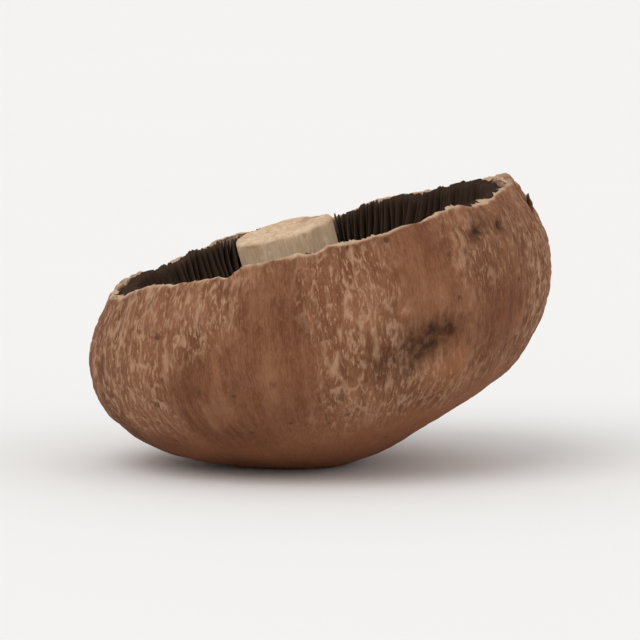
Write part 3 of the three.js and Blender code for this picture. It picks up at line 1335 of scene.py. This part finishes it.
@dataclass
class Gills:
    """Thin wavy blades in three lengths on the layer that they grow from, in millimetres and rows."""

    growth: Growth
    material: bpy.types.Material
    count: int = 320
    order: tuple[GillTier, ...] = (GillTier.LONG, GillTier.SHORT, GillTier.MIDDLING, GillTier.SHORT)
    seed: int = 5
    rows: int = 8
    gap: float = 0.35
    layer: float = 1.1
    layer_steps: int = 20
    start: float = 0.21
    end: float = 0.965
    shoulder: Span = (33.9, 42.5)
    shoulder_rows: Span = (1.0, 2.0)
    edge: tuple[Span, ...] = ((12.2, 20.5), (20.0, 22.5), (28.8, 30.0), (31.8, 42.2))
    edge_from_row: float = 2.0
    edge_pace: float = 0.2
    edge_end: float = 0.03
    near_drop: float = 1.2
    near_range: Span = (0.0, 0.8)
    roll_drop: float = 1.9
    drop_fade: Span = (2.0, 5.0)
    depth_fade: Span = (1.0, 3.0)
    rise_rows: float = 1.3
    fall_rows: float = 2.6
    half_thickness_root: float = 0.2
    half_thickness_edge: float = 0.09
    frill: tuple[Wave, ...] = (Wave(11, 0.5, pace=1.0), Wave(29, 0.5, pace=-2.0))
    frill_share: float = 0.04
    sway: tuple[Wave, ...] = (Wave(5, 0.5, pace=0.9), Wave(17, 0.3, pace=1.7))
    sway_power: float = 1.5
    end_spread: float = 0.35
    place_spread: float = 0.14
    edge_spread: float = 0.03
    sway_spread: float = 0.12
    spread_knots: int = 10
    tone_spread: float = 0.5
    end_gap: float = 0.02
    bend_rows: float = 2.5
    bend_steps: int = 18
    steps_per_row: int = 3
    depth_steps: int = 4
    grain_radius: float = 8.0
    grain_pace: float = 0.12
    layer_grain_pace: float = 0.05

    def _root(self, row: Array, off: float) -> Array:
        """Places off the flesh, by rows counted from the lip."""
        return self.growth.off_underside(between(self.end, self.start, row / self.rows), off)

    def _full_edge(self, row: Array, turn: float) -> Array:
        """Free edge of a long blade.

        Args:
            row: Rows counted from the lip.
            turn: The blade's angle about the axis.

        Returns:
            Radius and height, one to a row.
        """
        along = np.clip(1.0 - self.edge_pace * (row - self.edge_from_row), self.edge_end, 1.0)
        top = smooth(*self.shoulder_rows, row)[:, None]
        full = np.array(self.shoulder) * (1.0 - top) + bezier(np.array(self.edge), along) * top
        drop = self.near_drop * smooth(*self.near_range, -math.sin(turn))
        drop += self.roll_drop * self.growth.rolled(turn)
        full[:, 1] -= drop * (1.0 - smooth(*self.drop_fade, row))
        return full

    def _spread(self, random: np.random.Generator, most: float, row: Array) -> Array:
        """Small differences along a blade, by rows counted from the lip."""
        knots = random.uniform(-most, most, self.spread_knots)
        return np.interp(row, np.arange(self.spread_knots), knots)

    def _rows(self, last: float) -> Array:
        """Rows of a blade: close together round the shoulder, and wider past it.

        Args:
            last: Row that the blade ends at.

        Returns:
            Rows counted from the lip, with parts between the whole ones.
        """
        past_bend = int((last - self.bend_rows) * self.steps_per_row) + 2
        bend = np.linspace(self.end_gap, self.bend_rows, self.bend_steps, endpoint=False)
        return np.concatenate([bend, np.linspace(self.bend_rows, last - self.end_gap, past_bend)])

    def _blade(self, number: int, random: np.random.Generator) -> tuple[Array, Values]:
        """One blade as a grid: rows from the lip inwards, columns up one face and down the other.

        Args:
            number: Number of the blade, counted round the cap.
            random: Source of its small differences.

        Returns:
            The grown points and their values.
        """
        tier = self.order[number % len(self.order)]
        sooner = random.uniform(-self.end_spread, self.end_spread)
        last = tier.reach + 1.0 + sooner * (tier is not GillTier.LONG)
        row = self._rows(last)
        turn = (number + random.uniform(-self.place_spread, self.place_spread)) / self.count * FULL_TURN
        root = self._root(row, self.gap + 0.5 * self.layer)
        bed = self._root(row, self.gap + self.layer)
        share = between(1.0, tier.depth, smooth(*self.depth_fade, row))
        frill = sum(wave.read(turn, row) for wave in self.frill)
        ragged = share * (1.0 + self.frill_share * frill + self._spread(random, self.edge_spread, row))
        ramp = np.sqrt(smooth(0.0, self.rise_rows, row) * smooth(0.0, self.fall_rows, last - row))
        edge = bed + (self._full_edge(row, turn) - bed) * (ragged * ramp)[:, None]
        depth, side = out_and_back(self.depth_steps)
        place = root[:, None, :] + (edge - root)[:, None, :] * depth[None, :, None]
        sway = sum(wave.read(turn, row) for wave in self.sway) + self._spread(random, self.sway_spread, row)
        half = between(self.half_thickness_root, self.half_thickness_edge, depth)
        across = side * half + sway[:, None] * depth**self.sway_power
        cosine, sine = math.cos(turn), math.sin(turn)
        level = np.stack([place[..., 0], across, place[..., 1]], axis=-1)
        level = level @ np.array([[cosine, sine, 0.0], [-sine, cosine, 0.0], UP])
        unit = np.ones(level.shape[:2])
        grain_height = unit * row[:, None] * self.grain_pace + sine * self.grain_radius
        values = {
            "grain": np.stack([unit * cosine * self.grain_radius, depth * unit, grain_height], axis=-1),
            "depth": unit * depth,
            "tone": unit * random.uniform(0.0, self.tone_spread),
        }
        return self.growth.grow(level), values

    def _layer(self) -> tuple[Array, Values]:
        """The thin layer that the blades grow from.

        Returns:
            The grown points and their values.
        """
        angles = np.linspace(0.0, FULL_TURN, self.count, endpoint=False)
        rows = np.linspace(0.0, self.rows, self.layer_steps)
        ring = np.concatenate([self._root(rows[::-1], self.gap), self._root(rows, self.gap + self.layer)])
        grid = self.growth.grow(self.growth.turn_profile(ring, angles))
        flat = np.zeros(grid.shape[:2])
        height = np.arange(len(ring))[:, None] * self.layer_grain_pace
        across, along = np.cos(angles) * self.grain_radius, np.sin(angles) * self.grain_radius
        grain = np.stack([across + flat, flat, along + height], axis=-1)
        return grid, {"grain": grain, "depth": flat, "tone": flat}

    def build(self) -> bpy.types.Object:
        """Builds the layer and all the blades in one mesh.

        Returns:
            The gills.
        """
        random = np.random.default_rng(self.seed)
        parts = MeshParts()
        parts.add_grid(*self._layer(), ring=True)
        for number in range(self.count):
            parts.add_tube(*self._blade(number, random))
        piece = parts.to_object("gill_blades", self.material)
        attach(piece, BODY)
        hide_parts("gills")
        return piece


@dataclass
class Stem:
    """The trimmed stem, in millimetres: flared foot, fibrous shaft, swollen ring line and rough cut end."""

    growth: Growth
    material: bpy.types.Material
    turns: int = 160
    clearance: float = -0.25
    foot: float = 0.2
    foot_from: float = 0.02
    foot_rows: int = 10
    flare: float = 4.0
    flare_below: float = 2.0
    flare_power: float = 1.5
    radius: float = 8.4
    waist: float = 0.97
    waist_length: float = 5.0
    shaft_gap: float = 0.2
    shaft_rows: int = 70
    end: float = 43.2
    end_rounding: float = 0.7
    corner_rows: int = 6
    cut_rows: int = 26
    cut_from: float = 0.2
    slant: float = 0.08
    lean: float = -0.16
    lobes: tuple[Wave, ...] = (Wave(2, 0.03, 0.7), Wave(5, 0.02, 0.0))
    ring_height: float = 33.0
    ring_reach: float = 1.1
    ring_below: float = 2.52
    ring_above: float = 1.08
    ring_wander: Uneven = Uneven(71, 4.0, 0.9, layers=2, shift=20.0)
    ring_torn: float = 0.75
    ring_tears: Uneven = Uneven(71, 5.0, 1.1, layers=3)
    ring_limits: Span = (0.1, 1.9)
    cut_skin: Span = (1.0, 0.1)
    dish: float = 0.9
    dish_range: Span = (0.1, 0.9)
    cut_rim: float = 0.25
    cut_rim_range: Span = (0.0, 0.2)
    lumps: Uneven = Uneven(71, 5.0, 0.3)
    ridges: Uneven = Uneven(71, (1.1, 1.1, 14.0), 0.16)
    cut_lumps: Uneven = Uneven(71, 2.6, 0.4, layers=3)
    blotches: Uneven = Uneven(71, 6.0, 1.0, layers=3, shift=9.0)
    blotch_range: Span = (0.1, 0.6)
    blotch_share: float = 0.7
    stains: Uneven = Uneven(71, 7.0, 1.0, layers=3)
    stain_range: Span = (0.2, 0.7)
    stain_share: float = 0.35

    def place(self, level: Array) -> Array:
        """Points of the level stem as they stand in the cap.

        Args:
            level: Points in the last axis of the array.

        Returns:
            The grown points.
        """
        foot_height = self.growth.off_underside(np.array([self.foot]), self.clearance)[0, 1]
        height = np.maximum(level[..., 2] - foot_height, 0.0)
        rise = height / (self.end - foot_height)
        turn = np.arctan2(level[..., 1], level[..., 0])
        swell = np.ones_like(turn)
        for lobe in self.lobes:
            swell += lobe.read(turn) * rise
        lifted = level[..., 2] + self.slant * level[..., 1] * rise**4
        grown = self.growth.grow(np.stack([level[..., 0] * swell, level[..., 1] * swell, lifted], axis=-1))
        grown[..., 0] += self.lean * height
        return grown

    def _profile(self) -> Array:
        """The level outline from under the foot to the middle of the cut end.

        Returns:
            Radius and height, one to a row.
        """
        places = np.linspace(self.foot_from, self.foot, self.foot_rows)
        under = self.growth.off_underside(places, self.clearance)
        foot_radius, foot_height = under[-1]
        flare_top = foot_height + self.flare
        height = np.linspace(foot_height + self.shaft_gap, self.end - self.end_rounding, self.shaft_rows)
        flared = (1.0 - smooth(foot_height - self.flare_below, flare_top, height)) ** self.flare_power
        middle = (flare_top + self.ring_height) / 2
        radius = between(self.radius, foot_radius, flared)
        radius -= self.radius * (1.0 - self.waist) * hump((height - middle) / self.waist_length)
        shaft = np.stack([radius, height], axis=1)
        angles = np.linspace(0.0, math.pi / 2, self.corner_rows)[1:]
        core = self.radius - self.end_rounding
        corner_radius = core + self.end_rounding * np.cos(angles)
        corner_height = self.end - self.end_rounding * (1.0 - np.sin(angles))
        corner = np.stack([corner_radius, corner_height], axis=1)
        cut = np.linspace(core, self.cut_from, self.cut_rows)[1:]
        return np.concatenate([under, shaft, corner, np.stack([cut, np.full(len(cut), self.end)], axis=1)])

    def _ring(self, height: Array) -> Array:
        """How far the torn ring stands out.

        Args:
            height: Heights on the level stem.

        Returns:
            The ring's reach there.
        """
        below = smooth(self.ring_height - self.ring_below, self.ring_height, height)
        above = 1.0 - smooth(self.ring_height, self.ring_height + self.ring_above, height)
        return self.ring_reach * below * above

    def build(self) -> bpy.types.Object:
        """Builds the closed mesh with the values that its finish reads.

        Returns:
            The stem.
        """
        angles = np.linspace(0.0, FULL_TURN, self.turns, endpoint=False)
        level = self.growth.turn_profile(self._profile(), angles)
        cut = smooth(self.end - self.cut_skin[0], self.end - self.cut_skin[1], level[..., 2])
        drum = on_drum(angles, self.radius, level[..., 2])
        around = drum * LEVEL
        torn = np.clip(self.ring_torn + self.ring_tears.read(around), *self.ring_limits)
        stands_out = self._ring(level[..., 2] + self.ring_wander.read(around)) * torn
        radius = np.hypot(level[..., 0], level[..., 1])
        level[..., :2] *= (1.0 + stands_out / radius)[..., None]
        inward = 1.0 - radius / self.radius
        dished = self.dish * smooth(*self.dish_range, inward)
        level[..., 2] -= cut * (dished - self.cut_rim * smooth(*self.cut_rim_range, inward))
        grid = self.place(level)
        relief = self.lumps.read(grid) + self.ridges.read(drum) * (1.0 - cut)
        relief += cut * self.cut_lumps.read(grid)
        grid = grid + grid_normals(grid) * relief[..., None]
        blotched = self.blotch_share * cut * smooth(*self.blotch_range, self.blotches.read(grid))
        stained = self.stain_share * (1.0 - cut) * smooth(*self.stain_range, self.stains.read(drum))
        grain = on_drum(angles, 1.0, level[..., 2] / self.radius)
        parts = MeshParts()
        parts.add_grid(grid, {"grain": grain, "cut": cut, "browned": blotched + stained}, poles=True)
        piece = parts.to_object("stem_stub", self.material)
        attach(piece, BODY)
        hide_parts("stem")
        return piece


@dataclass
class VeilShreds:
    """What is left of the veil, in millimetres: thin torn scraps that curl from the lip over the gills."""

    edge: Array
    material: bpy.types.Material
    count: int = 46
    seed: int = 29
    longest: float = 9.0
    lengths: Span = (0.25, 1.0)
    fewest_rows: int = 6
    widest: float = 2.6
    widths: Span = (0.35, 1.0)
    tears: Span = (0.45, 1.0)
    narrowest: float = 0.1
    rounding: float = 0.7
    thickness: float = 0.24
    thinning: float = 0.75
    steps: int = 5
    sunk: float = 0.35
    curls: Span = (-0.35, 0.15)
    slope: float = 0.25
    flutter: float = 0.12
    drop: float = 0.1
    grain_pace: float = 0.1
    grain_radius: float = 8.0
    browned: float = 0.3

    def _scrap(self, random: np.random.Generator) -> tuple[Array, Values]:
        """One scrap as a grid: rows along the lip, columns out over one face and back over the other.

        Args:
            random: Source of its place and outline.

        Returns:
            The points and their values.
        """
        spacing = np.linalg.norm(np.roll(self.edge, -1, axis=0) - self.edge, axis=1).mean()
        rows = max(self.fewest_rows, int(random.uniform(*self.lengths) * self.longest / spacing))
        places = (random.integers(len(self.edge)) + np.arange(rows)) % len(self.edge)
        start = self.edge[places]
        inwards = (self.edge.mean(axis=0) - start) * LEVEL
        inwards /= np.linalg.norm(inwards, axis=1, keepdims=True)
        torn = random.uniform(*self.tears, rows)
        rounded = np.sin(math.pi * np.linspace(0.0, 1.0, rows)) ** self.rounding
        width = self.widest * random.uniform(*self.widths) * rounded * torn + self.narrowest
        out, face = out_and_back(self.steps)
        reach = out[None, :] * width[:, None] - self.sunk
        lift = self.slope * reach + random.uniform(*self.curls) * reach**2 / self.widest
        lift += self.flutter * random.uniform(-1.0, 1.0, rows)[:, None] * out
        lift += 0.5 * self.thickness * face * (1.0 - self.thinning * out) - self.drop
        points = start[:, None, :] + inwards[:, None, :] * reach[..., None] + lift[..., None] * UP
        out = out * np.ones((rows, 1))
        along = places[:, None] * self.grain_pace * np.ones_like(out)
        grain = np.stack([along, out, out * width[:, None] / self.grain_radius], axis=-1)
        return points, {"grain": grain, "cut": out, "browned": self.browned * out}

    def build(self) -> bpy.types.Object:
        """Builds all the scraps in one mesh.

        Returns:
            The shreds.
        """
        random = np.random.default_rng(self.seed)
        parts = MeshParts()
        for _ in range(self.count):
            parts.add_tube(*self._scrap(random))
        piece = parts.to_object("veil_shreds", self.material)
        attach(piece, BODY)
        return piece


class Lamp(Enum):
    """The studio's soft lights from far away: where from, width in degrees, and strength."""

    KEY = ((-0.5, -0.55, 0.9), 50.0, 0.95)
    FILL = ((0.8, -0.45, 0.3), 70.0, 0.45)


@dataclass
class Studio:
    """A pale floor, soft lamps, an even sky and the camera, in metres and degrees."""

    middle: Vector
    floor_radius: float = 9.0
    floor_sides: int = 96
    floor_colour: Colour = (0.86, 0.855, 0.845)
    floor_shade: Colour = (0.8, 0.79, 0.78)
    floor_clouds: Cloud = Cloud(3.0, 0.55, Ramp(0.3, 0.7, 0.0, 0.06))
    floor_cloud_scale: float = 6.0
    floor_roughness: float = 0.9
    floor_specular: float = 0.1
    sky_colour: Colour = (1.0, 0.995, 0.985)
    sky_strength: float = 0.78
    camera_distance: float = 0.9
    camera_rise: float = 6.0
    frame_width: float = 0.116
    sensor: float = 36.0

    def build_floor(self) -> bpy.types.Object:
        """Builds the round floor that the mushroom rests on.

        Returns:
            The floor.
        """
        size = {"vertices": self.floor_sides, "radius": self.floor_radius}
        bpy.ops.mesh.primitive_circle_add(fill_type="NGON", **size)
        floor = bpy.context.active_object
        floor.name = "studio_floor"
        material, graph, shader = new_material("studio floor")
        place = graph.add("ShaderNodeTexCoord").outputs["Object"]
        tint = graph.cloud(place, self.floor_cloud_scale, self.floor_clouds)
        graph.join(shader, {"Base Color": graph.mix(tint, self.floor_colour, self.floor_shade)})
        shader.inputs["Roughness"].default_value = self.floor_roughness
        shader.inputs["Specular IOR Level"].default_value = self.floor_specular
        floor.data.materials.append(material)
        floor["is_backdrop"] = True
        return floor

    def build_lights(self) -> None:
        """Sets the far lights and the even sky."""
        for lamp in Lamp:
            towards, width, strength = lamp.value
            data = bpy.data.lights.new(lamp.name.lower() + "_light", "SUN")
            data.angle = math.radians(width)
            data.energy = strength
            light = bpy.data.objects.new(data.name, data)
            light.location = towards
            light.rotation_euler = Vector(towards).to_track_quat("Z", "Y").to_euler()
            bpy.context.collection.objects.link(light)
        world = bpy.data.worlds.new("studio sky")
        world.use_nodes = True
        sky = world.node_tree.nodes["Background"]
        sky.inputs["Color"].default_value = (*self.sky_colour, 1.0)
        sky.inputs["Strength"].default_value = self.sky_strength
        bpy.context.scene.world = world
        bpy.context.scene.view_settings.view_transform = "Standard"

    def build_camera(self) -> bpy.types.Object:
        """Sets the camera level with the rim, a little above it, on the side that the photograph shows.

        Returns:
            The camera.
        """
        data = bpy.data.cameras.new("studio_camera")
        data.sensor_width = self.sensor
        data.lens = self.sensor * self.camera_distance / self.frame_width
        camera = bpy.data.objects.new("studio_camera", data)
        rise = math.radians(self.camera_rise)
        camera.location = self.middle + self.camera_distance * Vector((0.0, -math.cos(rise), math.sin(rise)))
        camera.rotation_euler = (self.middle - camera.location).to_track_quat("-Z", "Y").to_euler()
        bpy.context.collection.objects.link(camera)
        bpy.context.scene.camera = camera
        return camera


def main() -> None:
    """Builds the finishes, the pieces of the mushroom and the studio, and reports each piece."""
    logging.basicConfig(level=logging.INFO, format="%(message)s")
    cad_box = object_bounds()
    low, high = (Vector(corner) for corner in cad_box)
    studio = Studio(middle=(low + high) / 2)
    studio.build_camera()
    effects = Effects()
    growth = Growth()
    flesh = FleshFinish().material(effects)
    cap = Cap(growth, SkinFinish().material(effects))
    pieces = [
        cap.build(),
        Gills(growth, GillFinish().material(effects)).build(),
        Stem(growth, flesh).build(),
        VeilShreds(cap.edge, flesh).build(),
    ]
    for piece in pieces:
        LOG.info("%s: %d faces", piece.name, len(piece.data.polygons))
    studio.build_floor()
    studio.build_lights()


if __name__ == "__main__":
    main()
